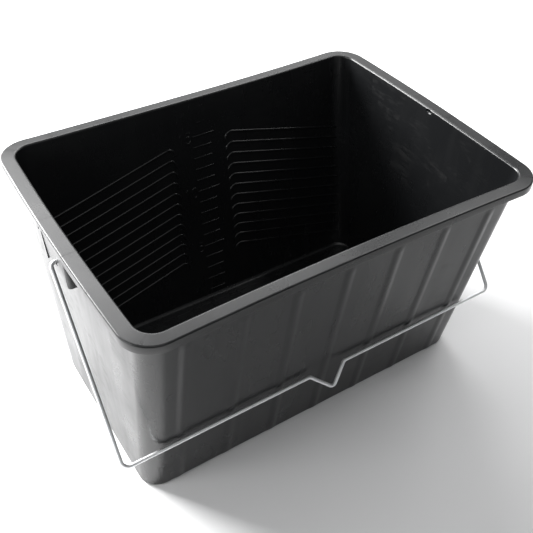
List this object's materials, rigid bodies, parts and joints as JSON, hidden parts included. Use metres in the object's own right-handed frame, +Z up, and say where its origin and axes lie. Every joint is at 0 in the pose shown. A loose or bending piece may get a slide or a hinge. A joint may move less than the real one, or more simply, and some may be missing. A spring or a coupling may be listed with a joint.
{
  "type": "paint roller scuttle with wire handle",
  "caption": "Deep rectangular moulded bucket for roller painting, with drain ridges and litre marks on one inner wall, and a swinging wire handle with a notched bar.",
  "frame": {"origin": "middle of the flat underside", "axes": "+Z up, +X along the long side, -Y towards the front wall that the handle leans on"},
  "size_m": [0.4122, 0.2872, 0.2375],
  "materials": {
    "black_plastic": "satin",
    "zinc_plated_wire": "bright zinc"
  },
  "bodies": {
    "bucket": {"bucket_body": "black_plastic"},
    "handle": {"wire_handle": "zinc_plated_wire"}
  },
  "joints": [
    {"name": "handle_swing", "type": "hinge", "parent": "bucket", "child": "handle", "pos_m": [0, 0, 0.213], "axis": [-1, 0, 0], "range_deg": [0, 282.3]}
  ]
}
